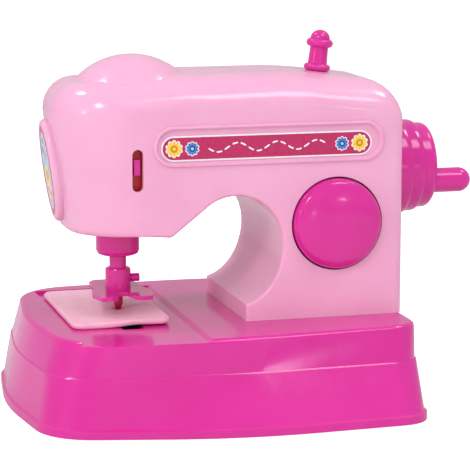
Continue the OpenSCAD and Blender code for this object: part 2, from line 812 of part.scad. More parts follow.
module spool_stem(stem_top, collar_top) {
    knob = [for (k = [0 : corner_steps])
        let (a = quarter_turn * k / corner_steps)
        [spool_knob_d / 2 * cos(a), collar_top + spool_knob_h * sin(a)]];
    rotate_extrude($fn = 2 * round_steps) polygon(concat([[0, 0]], bead(spool_flange_d, 0, spool_flange_t),
        [[spool_stem_d / 2, spool_flange_t], [spool_stem_d / 2 - fillet / 2, stem_top]],
        bead(spool_collar_d, stem_top, spool_collar_t), knob));
}

// Needle bush, gripped by the head's bottom wall
bush_neck_d = 14;
bush_ring_t = 3;
bush_round = 2;

module needle_bush() {
    low = base_h + bush_z;
    wall = base_h + head_z;
    high = wall + shell_wall;
    color(magenta) translate([needle_axis, 0, 0]) rotate_extrude($fn = 2 * round_steps) polygon([
        [bar_d / 2 + fit, low], [bush_d / 2 - bush_round, low], [bush_d / 2 - fillet, low + fillet],
        [bush_d / 2, low + bush_round], [bush_d / 2, wall], [bush_neck_d / 2, wall],
        [bush_neck_d / 2, high], [bush_d / 2, high], [bush_d / 2, high + bush_ring_t],
        [bar_d / 2 + fit, high + bush_ring_t]]);
}

// Flanged bearing bush for the main shaft
module shaft_bush(len) {
    color(deep_pink) difference() {
        union() {
            cylinder(d = bush_outer, h = len, $fn = round_steps);
            translate([0, 0, -bush_flange_t])
                cylinder(d = bush_flange_d, h = bush_flange_t, $fn = round_steps);
        }
        translate([0, 0, -bush_flange_t - overrun])
            cylinder(d = shaft_d + 2 * fit, h = len + bush_flange_t + 2 * overrun, $fn = round_steps);
    }
}

module shaft_bush_left() {
    at_shaft(left_rib) shaft_bush(rib_t);
}

module shaft_bush_right() {
    at_shaft(right_rib) shaft_bush(rib_t + shell_wall);
}

// Domed push button with a rear flange that stops it in the guide
button_flange = 1.6;

// Profile of the button's dome, as shares of its radius and rise
button_shares = [[1, 0], [0.985, 0.3], [0.95, 0.5], [0.88, 0.66], [0.76, 0.79],
    [0.58, 0.89], [0.34, 0.96], [0, 1]];
function button_dome(r, rise) = [for (s = button_shares) [s[0] * r, s[1] * rise]];

module button_cap() {
    r = button_d / 2;
    inner = r - button_wall;
    flange = (button_hole_d + guide_t) / 2;
    back = -guide_depth - loose - button_flange;
    color(magenta) on_front(button_x, button_z) rotate_extrude($fn = 3 * round_steps)
        polygon(concat(button_dome(r, button_rise), reversed(button_dome(inner, button_rise - button_wall)),
            [[inner, back], [flange, back], [flange, back + button_flange], [r, back + button_flange]]));
}

// Points of the button spring's wire, wound from its seat to the button
spring_from = spring_seat_y - spring_wire / 2;
spring_upto = -half_d - button_rise + button_wall + spring_wire;
spring_rings = 8 * spring_turns;
spring_sides = 6;
function spring_ring(k) =
    let (a = 360 * spring_turns * k / spring_rings, out = [cos(a), sin(a)])
    [for (s = [0 : spring_sides - 1])
        let (b = -360 * s / spring_sides, r = spring_d / 2 + spring_wire / 2 * cos(b))
        [out[0] * r, mixed(spring_from, spring_upto, k / spring_rings) + spring_wire / 2 * sin(b),
            out[1] * r]];
spring_pitch = abs(spring_upto - spring_from) / spring_turns;
echo(button_spring_least_gap = spring_pitch - spring_wire);

module button_spring() {
    color(steel) translate([column_left + button_x, 0, base_h + button_z])
        loft([for (k = [0 : spring_rings]) spring_ring(k)]);
}

// Stepped hand wheel with its peg
tier_round = 1;
tier_run = 2.8;
wheel_round = 2.8;
wheel_wall = 2.4;
hub_d = 12;

// Rounded outer edge of a tier of radius r that ends at z, by a step inward and a run along the axis
function tier_edge(r, z, step, run) = [for (k = [0 : corner_steps])
    let (a = quarter_turn * k / corner_steps)
    [r - step * (1 - cos(a)), z - run * (1 - sin(a))]];

module handwheel() {
    radii = [tier_one_d, tier_two_d, tier_three_d] / 2;
    one = tier_one;
    two = one + tier_two;
    three = two + tier_three;
    color(magenta) at_shaft(wheel_start) difference() {
        union() {
            rotate_extrude($fn = 3 * round_steps) polygon(concat(
                [[0, 0], [radii[0] - fillet, 0], [radii[0], fillet]],
                tier_edge(radii[0], one, tier_round, tier_run),
                [[radii[1], one]], tier_edge(radii[1], two, tier_round, tier_run),
                [[radii[2], two]], tier_edge(radii[2], three, wheel_round, wheel_round), [[0, three]]));
            rotate(-peg_turn) translate([peg_throw, 0, three]) peg();
        }
        difference() {
            translate([0, 0, -overrun])
                cylinder(d = tier_three_d - 2 * wheel_wall, h = two + overrun, $fn = 2 * round_steps);
            translate([0, 0, -2 * overrun]) cylinder(d = hub_d, h = three, $fn = 2 * round_steps);
        }
        translate([0, 0, -overrun])
            cylinder(d = shaft_d + 2 * fit, h = two + overrun, $fn = round_steps);
        translate([0, 0, -overrun])
            cylinder(d = screw_d + 2 * fit, h = three + 2 * overrun, $fn = round_steps);
        translate([0, 0, three - screw_head_t])
            cylinder(d = screw_head_d + 2 * loose, h = screw_head_t + overrun, $fn = round_steps);
    }
}

// Crank peg with a round tip
module peg() {
    r = peg_d / 2;
    rotate_extrude($fn = 2 * round_steps)
        polygon(concat([[0, -wheel_round / 2], [r, -wheel_round / 2]], tier_edge(r, peg_len, r, r)));
}

wheel_screw_len = 10;

module wheel_screw() {
    color(steel) at_shaft(wheel_end - screw_head_t + fit) {
        cylinder(d = screw_head_d, h = screw_head_t - 2 * fit, $fn = round_steps);
        translate([0, 0, -wheel_screw_len])
            cylinder(d = screw_d, h = wheel_screw_len + fit, $fn = round_steps);
    }
}

module main_shaft() {
    color(steel) at_shaft(disc_left) difference() {
        cylinder(d = shaft_d, h = shaft_end - disc_left, $fn = round_steps);
        translate([0, 0, shaft_end - disc_left - wheel_screw_len])
            cylinder(d = screw_d + 2 * fit, h = wheel_screw_len + overrun, $fn = round_steps);
    }
}

collar_t = 5;
collar_d = 11;

module shaft_collar() {
    color(steel) at_shaft(right_rib - bush_flange_t - loose - collar_t) difference() {
        cylinder(d = collar_d, h = collar_t, $fn = round_steps);
        translate([0, 0, -overrun])
            cylinder(d = shaft_d + 2 * fit, h = collar_t + 2 * overrun, $fn = round_steps);
    }
}

// Where the crank pin stands in the pose shown, from the shaft axis
pin_side = sqrt(crank_throw * crank_throw - rest_lift * rest_lift);

module at_pin(x) {
    translate([x, pin_side, pin_level]) rotate([0, 90, 0]) children();
}

module crank_disc() {
    hub = disc_t + disc_hub;
    color(deep_pink) difference() {
        at_shaft(disc_left) {
            cylinder(d = disc_d, h = disc_t, $fn = round_steps);
            cylinder(d = disc_hub_d, h = hub, $fn = round_steps);
        }
        at_shaft(disc_left - overrun)
            cylinder(d = shaft_d + 2 * fit, h = hub + 2 * overrun, $fn = round_steps);
        at_pin(disc_left - overrun)
            cylinder(d = crank_pin_d + 2 * fit, h = disc_t + 2 * overrun, $fn = round_steps);
    }
}

module crank_pin() {
    color(steel) at_pin(disc_left - pin_reach)
        cylinder(d = crank_pin_d, h = pin_reach + disc_t, $fn = round_steps);
}

// Slotted yoke on the needle bar, with the lug that shows in the head's slot
yoke_hub_h = 14;
yoke_slot_play = 0.4;
yoke_border = 2.6;
lug_back = 1.6;
shield_t = 1.6;
shield_back = 4;

module drive_yoke() {
    slot_len = 2 * crank_throw + crank_pin_d + 2 * yoke_slot_play;
    slot_high = crank_pin_d + 2 * yoke_slot_play;
    plate_high = slot_high + 2 * yoke_border;
    lug_tip = half_d - lug_back;
    shield_h = slot_h + 2 * crank_throw + overrun;
    color(magenta) difference() {
        union() {
            translate([needle_axis, 0, pin_level - plate_high / 2])
                cylinder(d = yoke_hub_d, h = yoke_hub_h, $fn = round_steps);
            translate([yoke_right - yoke_t, -slot_len / 2 - yoke_border, pin_level - plate_high / 2])
                cube([yoke_t, slot_len + 2 * yoke_border, plate_high]);
            translate([needle_axis, -yoke_hub_d / 4, pin_level - plate_high / 2])
                cube([yoke_right - needle_axis - yoke_t / 2, yoke_hub_d / 2, yoke_border / 2]);
            translate([needle_axis, -yoke_hub_d / 4, pin_level + plate_high / 2 - yoke_border / 2])
                cube([yoke_right - needle_axis - yoke_t / 2, yoke_hub_d / 2, yoke_border / 2]);
            translate([needle_axis + slot_side - lug_w / 2, -lug_tip, lug_level - lug_h / 2])
                cube([lug_w, lug_tip, lug_h]);
            translate([needle_axis + slot_side - shield_w / 2, -half_d + shield_back,
                    lug_level - shield_h / 2])
                cube([shield_w, shield_t, shield_h]);
        }
        translate([yoke_right - yoke_t / 2, 0, pin_level]) rotate([0, 90, 0])
            linear_extrude(2 * yoke_t, center = true) rotate(90) stadium(slot_len, slot_high);
        translate([needle_axis, 0, pin_level - plate_high])
            cylinder(d = bar_d + 2 * fit, h = yoke_hub_h + 2 * plate_high, $fn = round_steps);
    }
}

clamp_round = 1;

module needle_bar() {
    color(magenta) translate([needle_axis, 0, base_h + foot_z])
        cylinder(d = bar_d, h = pin_level + bar_top - base_h - foot_z, $fn = round_steps);
}

clamp_screw_d = 3.3;
clamp_screw_z = 4.6;

module needle_clamp() {
    low = base_h + foot_z;
    high = base_h + clamp_top;
    r = clamp_d / 2;
    color(magenta) difference() {
        translate([needle_axis, 0, 0]) rotate_extrude($fn = 2 * round_steps) polygon([
            [bar_d / 2 + fit, low], [r, low], [r, high - clamp_round],
            [r - fillet / 2, high - fillet / 2], [r - clamp_round, high], [bar_d / 2 + fit, high]]);
        at_clamp_screw(bar_d / 4) cylinder(d = screw_d + 2 * fit, h = clamp_d, $fn = round_steps);
    }
}

module at_clamp_screw(x) {
    translate([needle_axis + x, 0, base_h + clamp_top - clamp_screw_z]) rotate([0, 90, 0]) children();
}

clamp_screw_out = 3.4;

module clamp_screw() {
    color(magenta) at_clamp_screw(clamp_d / 2 + fit) {
        cylinder(d = clamp_screw_d, h = clamp_screw_out, $fn = round_steps);
        translate([0, 0, bar_d / 2 - clamp_d / 2 + fit])
            cylinder(d = screw_d, h = clamp_d / 4, $fn = round_steps);
    }
}

// Half outline of the presser foot, as shares of half its width and half its length, front toes first
foot_shares = [[0.14, -0.5], [0.3, -0.94], [0.5, -1], [0.82, -0.98], [1, -0.5], [0.94, -0.2], [0.78, 0.05],
    [0.72, 0.8], [0.5, 1]];

module presser_foot() {
    right = [for (s = foot_shares) [s[0] * foot_w / 2, s[1] * foot_len / 2]];
    left = [for (i = [len(right) - 1 : -1 : 0]) [-right[i][0], right[i][1]]];
    color(magenta) translate([needle_axis, 0, base_h + foot_z - foot_t]) difference() {
        linear_extrude(foot_t) offset(r = fillet, $fn = round_steps) offset(delta = -fillet)
            polygon(concat(right, left));
        translate([0, 0, -overrun])
            cylinder(d = needle_d + 2 * fit, h = foot_t + 2 * overrun, $fn = round_steps);
    }
}

// How far the needle reaches below the cloth's top, and the length of its point
needle_sunk = 1.6;
needle_point = 3;

module needle() {
    tip = bed_level + cloth_t - needle_sunk;
    top = base_h + foot_z;
    color(deep_pink) translate([needle_axis, 0, 0]) rotate_extrude($fn = 2 * round_steps) polygon([
        [0, tip], [needle_d / 4, tip + fillet], [needle_d / 2, tip + needle_point],
        [needle_d / 2, top], [0, top]]);
}

cloth_round = 2.5;
cloth_front_share = 0.377;

module cloth_square() {
    left = needle_axis - bed_left + loose + riser_run / 2;
    front = -cloth_len * cloth_front_share;
    color(cloth_pink) translate([0, 0, bed_level]) difference() {
        linear_extrude(cloth_t) translate([left + cloth_round, front + cloth_round])
            offset(r = cloth_round, $fn = round_steps)
                square([cloth_w, cloth_len] - 2 * [cloth_round, cloth_round]);
        translate([needle_axis, 0, -overrun])
            cylinder(d = needle_d + 2 * loose, h = cloth_t + 2 * overrun, $fn = round_steps);
    }
}

base_shell();
bottom_cover();
cover_screws();
front_shell();
rear_shell();
shell_screws();
body_screws();
front_label();
end_plate();
end_label();
spool_pin();
needle_bush();
shaft_bush_left();
shaft_bush_right();
button_cap();
button_spring();
handwheel();
wheel_screw();
main_shaft();
shaft_collar();
crank_disc();
crank_pin();
drive_yoke();
needle_bar();
needle_clamp();
clamp_screw();
presser_foot();
needle();
cloth_square();
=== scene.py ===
import json
import math

import bmesh
import bpy
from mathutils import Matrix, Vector


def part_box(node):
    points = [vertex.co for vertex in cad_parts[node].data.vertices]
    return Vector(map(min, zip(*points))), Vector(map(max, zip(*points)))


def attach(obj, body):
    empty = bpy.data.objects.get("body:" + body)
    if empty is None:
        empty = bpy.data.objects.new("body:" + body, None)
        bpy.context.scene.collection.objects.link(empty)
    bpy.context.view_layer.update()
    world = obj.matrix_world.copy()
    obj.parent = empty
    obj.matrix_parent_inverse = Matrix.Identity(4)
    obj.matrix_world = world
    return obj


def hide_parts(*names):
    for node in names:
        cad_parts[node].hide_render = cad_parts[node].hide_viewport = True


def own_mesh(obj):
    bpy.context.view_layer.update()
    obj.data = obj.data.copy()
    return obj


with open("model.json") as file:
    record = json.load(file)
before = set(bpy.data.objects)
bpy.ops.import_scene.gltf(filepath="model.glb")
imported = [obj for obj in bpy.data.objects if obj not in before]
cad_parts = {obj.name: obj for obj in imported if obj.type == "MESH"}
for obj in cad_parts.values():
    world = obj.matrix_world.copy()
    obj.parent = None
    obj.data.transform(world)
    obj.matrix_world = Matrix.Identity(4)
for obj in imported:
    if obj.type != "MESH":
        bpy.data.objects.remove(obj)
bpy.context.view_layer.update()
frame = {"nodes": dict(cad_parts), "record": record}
nodes = frame["nodes"]
MM = 0.001
RIGHT = Vector((1, 0, 0))
BACK = Vector((0, 1, 0))
UP = Vector((0, 0, 1))


# Colours

def linear(r, g, b):
    """sRGB bytes to a linear RGBA colour."""
    def one(c):
        c /= 255.0
        return c / 12.92 if c <= 0.04045 else ((c + 0.055) / 1.055) ** 2.4
    return (one(r), one(g), one(b), 1.0)


def grey(v):
    return (v, v, v, 1.0)


PALE = linear(237, 173, 206)
PALE_SHADE = linear(234, 166, 201)
MAGENTA = linear(216, 40, 152)
MAGENTA_SHADE = linear(211, 35, 146)
DEEP = linear(172, 16, 72)
DEEP_SHADE = linear(156, 12, 60)
# Painted shade: dark red for the shadow inside the head's slot
SLOT_PAINTED_SHADE = linear(196, 10, 24)
SLOT_PAINTED_SHADE_DEEPER = linear(182, 8, 20)
CLOTH = linear(247, 187, 211)
CLOTH_SHADE = linear(241, 174, 201)
WHITE = linear(244, 242, 243)
WHITE_SHADE = linear(236, 232, 235)
LABEL_PINK = linear(190, 20, 94)
LABEL_PINK_SHADE = linear(178, 14, 84)
YELLOW = linear(247, 208, 62)
YELLOW_SHADE = linear(240, 196, 48)
ORANGE = linear(206, 138, 30)
ORANGE_SHADE = linear(196, 124, 24)
BLUE = linear(58, 128, 206)
BLUE_SHADE = linear(48, 116, 196)
NAVY = linear(30, 62, 132)
NAVY_SHADE = linear(24, 54, 120)
SKY = linear(176, 214, 236)
SKY_SHADE = linear(164, 206, 230)
BLUSH = linear(240, 168, 196)
BLUSH_SHADE = linear(234, 154, 186)
PEACH = linear(246, 200, 160)
PEACH_SHADE = linear(240, 190, 148)
LEAF = linear(150, 196, 150)
LEAF_SHADE = linear(138, 186, 140)
STEEL = (0.52, 0.52, 0.54, 1.0)
STEEL_SHADE = (0.40, 0.40, 0.42, 1.0)
# Painted shade: near black for the shadow in the screw's cross recess, the second a little paler
RECESS_PAINTED_SHADE = (0.012, 0.011, 0.012, 1.0)
RECESS_PAINTED_SHADE_PALER = (0.02, 0.019, 0.02, 1.0)
WHITE_LIGHT = grey(1.0)


# Grain of the surfaces: scale and detail of the noise
FLOW_MARKS = (34.0, 3.0)
GLOSS_PATCHES = (120.0, 4.0)
ORANGE_PEEL = (420.0, 2.0)
ZINC_CLOUDS = (260.0, 3.0)
ZINC_GLOSS = (700.0, 3.0)
TURNING_LINES = (900.0, 2.0)
TURNING_STRETCH = (0.2, 1.0, 1.0)
INK_GRAIN = (900.0, 3.0)
FILM_GLOSS = (200.0, 2.0)
FILM_WAVES = (600.0, 2.0)
SLUBS = (150.0, 4.0)
SLUB_STRETCH = (1.0, 0.25, 1.0)
CLOTH_GLOSS = (240.0, 3.0)
GRAIN_STOPS = (0.35, 0.65)

# Height and strength of the bumps
PEEL_BUMP = (0.04 * MM, 0.16)
TURNING_BUMP = (0.02 * MM, 0.3)
FILM_BUMP = (0.01 * MM, 0.2)
WEAVE_BUMP = (0.06 * MM, 0.35)

# Roughness where the grain is low and where it is high
MOULDED_ROUGH_SHARES = (0.8, 1.25)
FILM_ROUGH_SHARES = (0.85, 1.2)
STEEL_ROUGH = (0.24, 0.42)
CLOTH_ROUGH = (0.38, 0.55)
FILM_ROUGH = 0.3
RECESS_ROUGH = 0.5

# Even values of each kind of surface
MOULDED_VALUES = {"IOR": 1.49, "Subsurface Radius": (0.004, 0.002, 0.003), "Subsurface Scale": 0.5,
                  "Coat Weight": 0.1, "Coat Roughness": 0.05}
PLATED_VALUES = {"Metallic": 1.0}
FILM_VALUES = {"Coat Weight": 0.3, "Coat Roughness": 0.12}
SATIN_VALUES = {"Sheen Weight": 0.35, "Sheen Roughness": 0.4, "Subsurface Weight": 0.1,
                "Subsurface Radius": (0.002, 0.001, 0.0012)}
THREAD_VALUES = {"Scale": 420.0, "Distortion": 1.2, "Detail": 2.0}


# Materials

def new_material(name):
    material = bpy.data.materials.new(name)
    material.use_nodes = True
    tree = material.node_tree
    tree.nodes.clear()
    out = tree.nodes.new("ShaderNodeOutputMaterial")
    shader = tree.nodes.new("ShaderNodeBsdfPrincipled")
    tree.links.new(shader.outputs["BSDF"], out.inputs["Surface"])
    return material, tree, shader


def set_values(node, values):
    for socket, value in values.items():
        node.inputs[socket].default_value = value


def noise(tree, grain, stretch=None):
    scale, detail = grain
    place = tree.nodes.new("ShaderNodeTexCoord")
    texture = tree.nodes.new("ShaderNodeTexNoise")
    set_values(texture, {"Scale": scale, "Detail": detail})
    vector = place.outputs["Object"]
    if stretch:
        mapping = tree.nodes.new("ShaderNodeMapping")
        mapping.inputs["Scale"].default_value = stretch
        tree.links.new(vector, mapping.inputs["Vector"])
        vector = mapping.outputs["Vector"]
    tree.links.new(vector, texture.inputs["Vector"])
    return texture.outputs["Fac"]


def grade(tree, shader, socket, ends, grain, stretch=None):
    """The socket goes from one end to the other with the grain."""
    ramp = tree.nodes.new("ShaderNodeValToRGB")
    for element, position, colour in zip(ramp.color_ramp.elements, GRAIN_STOPS, ends):
        element.position = position
        element.color = colour
    tree.links.new(noise(tree, grain, stretch), ramp.inputs["Fac"])
    tree.links.new(ramp.outputs["Color"], shader.inputs[socket])


def greys(values):
    return [grey(v) for v in values]


def add_bump(tree, shader, height, bump_size):
    distance, strength = bump_size
    bump = tree.nodes.new("ShaderNodeBump")
    set_values(bump, {"Distance": distance, "Strength": strength})
    tree.links.new(height, bump.inputs["Height"])
    tree.links.new(bump.outputs["Normal"], shader.inputs["Normal"])


def moulded(name, light, shade, rough, glow):
    """Glossy moulded plastic: slight flow marks in the colour, uneven gloss and a faint orange peel."""
    material, tree, shader = new_material(name)
    grade(tree, shader, "Base Color", (shade, light), FLOW_MARKS)
    grade(tree, shader, "Roughness", greys(rough * share for share in MOULDED_ROUGH_SHARES), GLOSS_PATCHES)
    add_bump(tree, shader, noise(tree, ORANGE_PEEL), PEEL_BUMP)
    set_values(shader, MOULDED_VALUES)
    shader.inputs["Subsurface Weight"].default_value = glow
    return material


def plated(name):
    """Zinc-plated steel with fine turning lines."""
    material, tree, shader = new_material(name)
    grade(tree, shader, "Base Color", (STEEL_SHADE, STEEL), ZINC_CLOUDS)
    grade(tree, shader, "Roughness", greys(STEEL_ROUGH), ZINC_GLOSS)
    add_bump(tree, shader, noise(tree, TURNING_LINES, TURNING_STRETCH), TURNING_BUMP)
    set_values(shader, PLATED_VALUES)
    return material


def printed(name, light, shade, rough=FILM_ROUGH):
    """Printed film: a slight screen grain in the ink and a soft gloss."""
    material, tree, shader = new_material(name)
    grade(tree, shader, "Base Color", (shade, light), INK_GRAIN)
    grade(tree, shader, "Roughness", greys(rough * share for share in FILM_ROUGH_SHARES), FILM_GLOSS)
    add_bump(tree, shader, noise(tree, FILM_WAVES), FILM_BUMP)
    set_values(shader, FILM_VALUES)
    return material


def satin(name):
    """Satin weave: fine threads both ways, slight slubs and a sheen."""
    material, tree, shader = new_material(name)
    place = tree.nodes.new("ShaderNodeTexCoord")
    weave = tree.nodes.new("ShaderNodeMath")
    weave.operation = "ADD"
    for k, direction in enumerate(("X", "Y")):
        threads = tree.nodes.new("ShaderNodeTexWave")
        threads.wave_type = "BANDS"
        threads.bands_direction = direction
        set_values(threads, THREAD_VALUES)
        tree.links.new(place.outputs["Object"], threads.inputs["Vector"])
        tree.links.new(threads.outputs["Fac"], weave.inputs[k])
    grade(tree, shader, "Base Color", (CLOTH_SHADE, CLOTH), SLUBS, SLUB_STRETCH)
    grade(tree, shader, "Roughness", greys(CLOTH_ROUGH), CLOTH_GLOSS)
    add_bump(tree, shader, weave.outputs["Value"], WEAVE_BUMP)
    set_values(shader, SATIN_VALUES)
    return material


pale = moulded("pale_plastic", PALE, PALE_SHADE, rough=0.17, glow=0.25)
magenta = moulded("magenta_plastic", MAGENTA, MAGENTA_SHADE, rough=0.14, glow=0.05)
# Painted shade for the inside of the head's slot
slot_painted_shade = moulded("slot_painted_shade", SLOT_PAINTED_SHADE, SLOT_PAINTED_SHADE_DEEPER, rough=0.3, glow=0.0)
deep = moulded("deep_plastic", DEEP, DEEP_SHADE, rough=0.22, glow=0.05)
steel = plated("plated_steel")
white_film = printed("white_film", WHITE, WHITE_SHADE)
pink_ink = printed("pink_ink", LABEL_PINK, LABEL_PINK_SHADE)
yellow_ink = printed("yellow_ink", YELLOW, YELLOW_SHADE)
orange_ink = printed("orange_ink", ORANGE, ORANGE_SHADE)
blue_ink = printed("blue_ink", BLUE, BLUE_SHADE)
navy_ink = printed("navy_ink", NAVY, NAVY_SHADE)
sky_ink = printed("sky_ink", SKY, SKY_SHADE)
blush_ink = printed("blush_ink", BLUSH, BLUSH_SHADE)
peach_ink = printed("peach_ink", PEACH, PEACH_SHADE)
leaf_ink = printed("leaf_ink", LEAF, LEAF_SHADE)
# Painted shade of the screw's cross recess, made as a thin film
recess_shade = printed("screw_recess_painted_shade", RECESS_PAINTED_SHADE, RECESS_PAINTED_SHADE_PALER, rough=RECESS_ROUGH)
weave_cloth = satin("satin_cloth")

FINISH = {"pale_plastic": pale, "magenta_plastic": magenta, "deep_plastic": deep, "steel": steel,
          "sticker": white_film, "cloth": weave_cloth}


# Smooth shading of the moulded pieces, with their sharp edges kept
SMOOTH_BELOW = math.radians(28.0)
WELD = 0.02 * MM


def smooth_group():
    group = bpy.data.node_groups.new("smooth_by_angle", "GeometryNodeTree")
    group.interface.new_socket("Geometry", in_out="INPUT", socket_type="NodeSocketGeometry")
    group.interface.new_socket("Geometry", in_out="OUTPUT", socket_type="NodeSocketGeometry")
    start = group.nodes.new("NodeGroupInput")
    end = group.nodes.new("NodeGroupOutput")
    faces = group.nodes.new("GeometryNodeSetShadeSmooth")
    faces.domain = "FACE"
    edges = group.nodes.new("GeometryNodeSetShadeSmooth")
    edges.domain = "EDGE"
    angle = group.nodes.new("GeometryNodeInputMeshEdgeAngle")
    below = group.nodes.new("FunctionNodeCompare")
    below.data_type = "FLOAT"
    below.operation = "LESS_THAN"
    below.inputs["B"].default_value = SMOOTH_BELOW
    group.links.new(angle.outputs["Unsigned Angle"], below.inputs["A"])
    group.links.new(start.outputs[0], faces.inputs["Geometry"])
    group.links.new(faces.outputs["Geometry"], edges.inputs["Geometry"])
    group.links.new(below.outputs["Result"], edges.inputs["Shade Smooth"])
    group.links.new(edges.outputs["Geometry"], end.inputs[0])
    return group


SMOOTH = smooth_group()


def smoothed(obj):
    join = obj.modifiers.new("weld", "WELD")
    join.merge_threshold = WELD
    by_angle = obj.modifiers.new("smooth", "NODES")
    by_angle.node_group = SMOOTH
    weighted = obj.modifiers.new("weighted", "WEIGHTED_NORMAL")
    weighted.keep_sharp = True


slots = {s["node"]: s["material_slot"] for s in frame["record"]["subparts"]}
for name, obj in nodes.items():
    obj.data.materials.clear()
    obj.data.materials.append(FINISH[slots[name]])
    smoothed(obj)


# Inside of the head's slot: the faces of the shield behind the tab of the yoke get painted shade, a dark red
# that stands in for the shadow inside the slot
SHIELD_BEHIND_TAB = 2.4 * MM
SHIELD_T = 1.6 * MM
SHIELD_PLAY = 0.1 * MM
yoke = nodes["drive_yoke"].data
yoke.materials.append(slot_painted_shade)
shield_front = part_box("drive_yoke")[0].y + SHIELD_BEHIND_TAB
for face in yoke.polygons:
    if shield_front - SHIELD_PLAY < face.center.y < shield_front + SHIELD_T + SHIELD_PLAY:
        face.material_index = 1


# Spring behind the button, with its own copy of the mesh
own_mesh(nodes["button_spring"])


# Printed pieces
INK = 0.03 * MM
ARC_STEPS = 24
OVAL_STEPS = 72
GLOW_STEPS = 48
EYE_STEPS = 24
LEAF_STEPS = 20
PETAL_STEPS = 14
PETAL_ROUND = 0.6
EDGE_NOTCH_SHARE = 0.24
PETAL_NOTCH_SHARE = 0.3
HEART_NOTCH_SHARE = 0.12
PETAL_SHARE = 0.86
HEART_SHARE = 0.42
EYE_SHARE = 0.4


def plate(name, outline, place, material, lift=0.0, thick=INK, body="machine"):
    """Thin closed plate over an outline, on a face given by its origin and its three directions."""
    origin, u, v, n = place
    mesh = bpy.data.meshes.new(name)
    bm = bmesh.new()
    low = [bm.verts.new(origin + u * p[0] + v * p[1] + n * lift) for p in outline]
    high = [bm.verts.new(origin + u * p[0] + v * p[1] + n * (lift + thick)) for p in outline]
    bm.faces.new(high)
    bm.faces.new(low[::-1])
    count = len(outline)
    for i in range(count):
        k = (i + 1) % count
        bm.faces.new((low[i], low[k], high[k], high[i]))
    bmesh.ops.recalc_face_normals(bm, faces=bm.faces)
    bm.to_mesh(mesh)
    bm.free()
    obj = bpy.data.objects.new(name, mesh)
    bpy.context.scene.collection.objects.link(obj)
    mesh.materials.append(material)
    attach(obj, body)


def stadium(length, height):
    r = height / 2
    half = length / 2 - r
    turns = [math.pi * i / ARC_STEPS for i in range(ARC_STEPS + 1)]
    right = [(half + r * math.sin(a), -r * math.cos(a)) for a in turns]
    left = [(-x, -y) for x, y in right]
    return right + left


def oval(w, h, middle=(0.0, 0.0), steps=OVAL_STEPS):
    turns = [2 * math.pi * i / steps for i in range(steps)]
    return [(middle[0] + w / 2 * math.cos(a), middle[1] + h / 2 * math.sin(a)) for a in turns]


def petals(middle, r, count, notch_share):
    points = []
    for i in range(count * PETAL_STEPS):
        a = 2 * math.pi * i / (count * PETAL_STEPS)
        bulge = abs(math.sin(count * a / 2)) ** PETAL_ROUND
        radius = r * (1.0 - notch_share + notch_share * bulge)
        points.append((middle[0] + radius * math.cos(a), middle[1] + radius * math.sin(a)))
    return points


def flower(name, place, middle, r, inks, lift, count):
    """Four layers of print: a white edge, the petals, the heart and its eye."""
    petal_ink, heart_ink, eye_ink = inks
    eye_d = r * EYE_SHARE
    layers = (("edge", petals(middle, r, count, EDGE_NOTCH_SHARE), white_film),
              ("petals", petals(middle, r * PETAL_SHARE, count, PETAL_NOTCH_SHARE), petal_ink),
              ("heart", petals(middle, r * HEART_SHARE, count, HEART_NOTCH_SHARE), heart_ink),
              ("eye", oval(eye_d, eye_d, middle, EYE_STEPS), eye_ink))
    for k, (layer, outline, ink) in enumerate(layers):
        plate(name + "_" + layer, outline, place, ink, lift + k * INK)


# Front label: two flowers at each end
LABEL_BORDER = 0.6 * MM
LABEL_PETALS = 10
YELLOW_FLOWER_X = 37.4 * MM
YELLOW_FLOWER_R = 3.5 * MM
BLUE_FLOWER_X = 30.2 * MM
BLUE_FLOWER_DROP = 0.1 * MM
BLUE_FLOWER_R = 2.9 * MM
label_low, label_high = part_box("front_label")
label_middle = (label_low + label_high) / 2
label_place = (Vector((label_middle.x, label_low.y, label_middle.z)), RIGHT, UP, -BACK)
label_len = label_high.x - label_low.x
label_h = label_high.z - label_low.z
plate("label_field", stadium(label_len - 2 * LABEL_BORDER, label_h - 2 * LABEL_BORDER), label_place, pink_ink)
for side, word in ((-1, "left"), (1, "right")):
    flower("yellow_flower_" + word, label_place, (side * YELLOW_FLOWER_X, 0.0), YELLOW_FLOWER_R,
           (yellow_ink, orange_ink, yellow_ink), INK, LABEL_PETALS)
    flower("blue_flower_" + word, label_place, (side * BLUE_FLOWER_X, -BLUE_FLOWER_DROP), BLUE_FLOWER_R,
           (blue_ink, navy_ink, sky_ink), INK, LABEL_PETALS)

# Running stitch along a wave, in place of a print
STITCHES = 15
STITCH_RUN = 48.0 * MM
STITCH_WIDE = 0.62 * MM
STITCH_POINTS = 7
STITCH_START_SHARE = 0.08
STITCH_LEN_SHARE = 0.68
STITCH_TIP_SHARE = 0.55
WAVE_RISE = 1.7 * MM
WAVE_LEN = 16.0 * MM


def stitch(k):
    """Outline of one stitch: a strip along the wave with narrower tips."""
    pitch = STITCH_RUN / STITCHES
    last = STITCH_POINTS - 1
    upper = []
    lower = []
    for i in range(STITCH_POINTS):
        x = pitch * (k + STITCH_START_SHARE + STITCH_LEN_SHARE * i / last) - STITCH_RUN / 2
        turn = 2 * math.pi * x / WAVE_LEN
        y = WAVE_RISE * math.sin(turn)
        slope = 2 * math.pi * WAVE_RISE / WAVE_LEN * math.cos(turn)
        half = STITCH_WIDE / 2 * (STITCH_TIP_SHARE if i in (0, last) else 1.0)
        across = Vector((-slope, 1.0)).normalized() * half
        upper.append((x + across.x, y + across.y))
        lower.append((x - across.x, y - across.y))
    return lower + upper[::-1]


for k in range(STITCHES):
    plate("label_stitch_%02d" % k, stitch(k), label_place, white_film, INK, thick=2 * INK)

